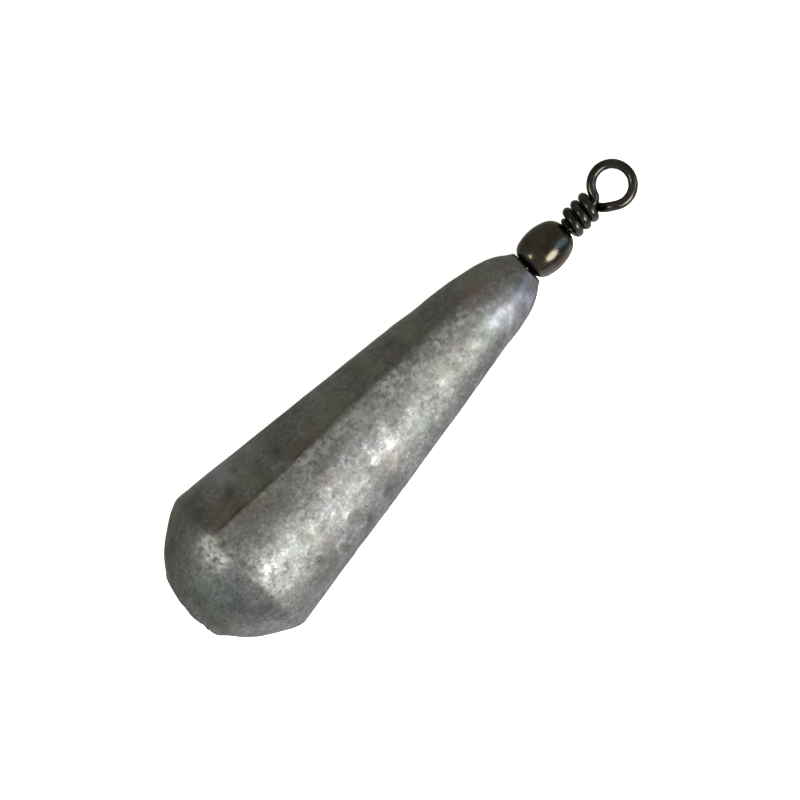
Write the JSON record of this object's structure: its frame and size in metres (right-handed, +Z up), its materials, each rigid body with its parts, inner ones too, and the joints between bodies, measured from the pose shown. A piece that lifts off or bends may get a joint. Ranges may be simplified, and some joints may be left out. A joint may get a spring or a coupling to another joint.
{
  "type": "fishing sinker",
  "caption": "Tapered, square-sided cast lead fishing sinker with a domed end, and a barrel swivel with a wound wire line eye set in its nose.",
  "frame": {"origin": "middle of the bounding box's bottom face, on the surface the sinker lies on", "axes": "+X along the sinker from its domed end to its line eye, +Z up out of the face that is on top, +Y completes the right-handed frame"},
  "size_m": [0.0677, 0.0186, 0.0183],
  "materials": {
    "cast_lead": "weathered grey lead as cast, dull and mottled, with a rough grain",
    "plated_wire": "black-nickel plate, glossy, worn to olive brown",
    "plated_barrel": "black-nickel plate, glossy, worn to olive brown"
  },
  "bodies": {
    "sinker": {"lead_body": "cast_lead", "lower_eye": "plated_wire"},
    "barrel": {"swivel_barrel": "plated_barrel"},
    "eye": {"upper_eye": "plated_wire"}
  },
  "joints": [
    {"name": "barrel_spin", "type": "hinge", "parent": "sinker", "child": "barrel", "pos_m": [0.02121, -0.0004, 0.0031], "axis": [0.9928, -0.0395, -0.1131], "continuous": true},
    {"name": "eye_spin", "type": "hinge", "parent": "barrel", "child": "eye", "pos_m": [0.02121, -0.0004, 0.0031], "axis": [0.9928, -0.0395, -0.1131], "continuous": true}
  ]
}
